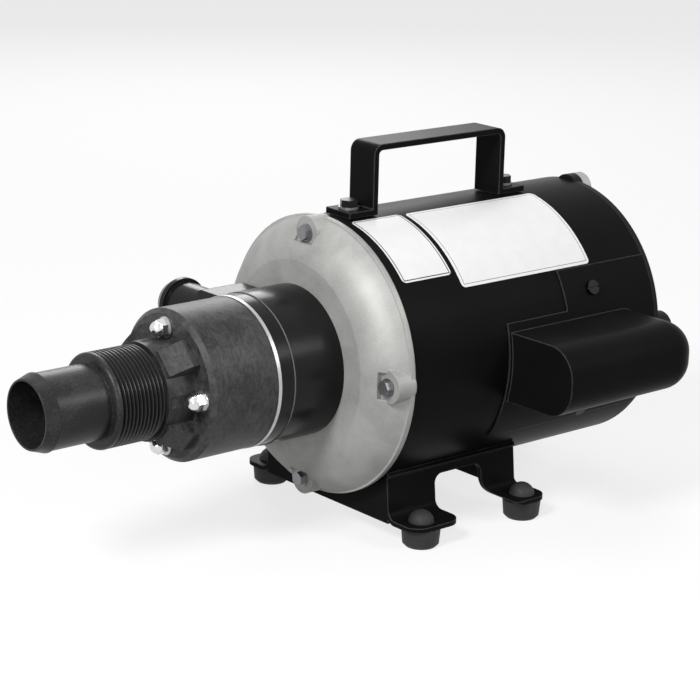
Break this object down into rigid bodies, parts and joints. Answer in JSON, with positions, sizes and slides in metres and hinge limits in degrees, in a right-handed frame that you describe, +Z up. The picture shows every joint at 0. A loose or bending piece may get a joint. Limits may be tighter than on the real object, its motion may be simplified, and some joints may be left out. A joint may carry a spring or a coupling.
{
  "type": "macerator waste pump",
  "caption": "Foot-mounted electric macerator pump: chopper housing with hose barb and threaded inlet, side outlet, round motor with capacitor cover, strap handle and rubber feet.",
  "frame": {"origin": "centre of the inlet mouth, on the shaft axis", "axes": "+X along the shaft from the inlet to the rear of the motor, +Z up, -Y towards the capacitor cover"},
  "size_m": [0.3766, 0.196, 0.2009],
  "materials": {
    "glass_filled_plastic": "mottled moulded black",
    "gloss_black_plastic": "smooth moulded black",
    "cast_aluminium": "die cast, lightly matt",
    "black_enamel": "gloss black enamel",
    "stainless": "plain stainless",
    "bright_chrome": "bright plated",
    "zinc_steel": "dull zinc",
    "dark_steel": "dark oxide",
    "black_rubber": "soft black",
    "nitrile": "moulded black",
    "brass": "machined",
    "gasket_fibre": "pressed fibre",
    "lamination_steel": "stacked sheet",
    "copper_winding": "varnished copper",
    "phenolic": "brown moulded",
    "white_nylon": "off-white moulded",
    "label_film": "plain white film, no print"
  },
  "bodies": {
    "frame": {"chopper_housing": "glass_filled_plastic", "cap_nuts": "bright_chrome", "nut_washers": "stainless", "pump_studs": "stainless", "chopper_plate": "stainless", "wear_plate": "stainless", "impeller_cover": "gloss_black_plastic", "body_gasket": "gasket_fibre", "pump_body": "gloss_black_plastic", "shaft_seal": "nitrile", "front_end_bell": "cast_aluminium", "motor_shell": "black_enamel", "rear_end_bell": "cast_aluminium", "through_bolts": "zinc_steel", "through_bolt_nuts": "zinc_steel", "stator_core": "lamination_steel", "stator_windings": "copper_winding", "front_bearing_outer": "stainless", "rear_bearing_outer": "stainless", "wave_washer": "zinc_steel", "start_switch": "phenolic", "thermal_protector": "phenolic", "capacitor": "phenolic", "capacitor_cover": "black_enamel", "cover_screws": "dark_steel", "handle": "black_enamel", "handle_bolts": "dark_steel", "handle_washers": "zinc_steel", "base": "black_enamel", "rubber_feet": "black_rubber"},
    "rotor": {"chopper_blade": "stainless", "chopper_nut": "stainless", "impeller": "nitrile", "impeller_hub": "brass", "drive_key": "zinc_steel", "slinger": "nitrile", "rotor_core": "lamination_steel", "motor_shaft": "stainless", "front_bearing_inner": "stainless", "rear_bearing_inner": "stainless"},
    "front_cage": {"front_bearing_balls": "bright_chrome"},
    "rear_cage": {"rear_bearing_balls": "bright_chrome"},
    "actuator": {"switch_actuator": "white_nylon"}
  },
  "joints": [
    {"name": "rotor_spin", "type": "hinge", "parent": "frame", "child": "rotor", "pos_m": [0, 0, 0], "axis": [1, 0, 0], "continuous": true, "deforming": ["impeller"]},
    {"name": "front_cage_spin", "type": "hinge", "parent": "frame", "child": "front_cage", "pos_m": [0.1756, 0, 0], "axis": [1, 0, 0], "continuous": true},
    {"name": "rear_cage_spin", "type": "hinge", "parent": "frame", "child": "rear_cage", "pos_m": [0.3646, 0, 0], "axis": [1, 0, 0], "continuous": true},
    {"name": "actuator_slide", "type": "slide", "parent": "rotor", "child": "actuator", "axis": [-1, 0, 0], "range_m": [0, 0.004]}
  ],
  "couplings": [
    {"joint": "front_cage_spin", "follows": "rotor_spin", "ratio": 0.38},
    {"joint": "rear_cage_spin", "follows": "rotor_spin", "ratio": 0.38}
  ]
}
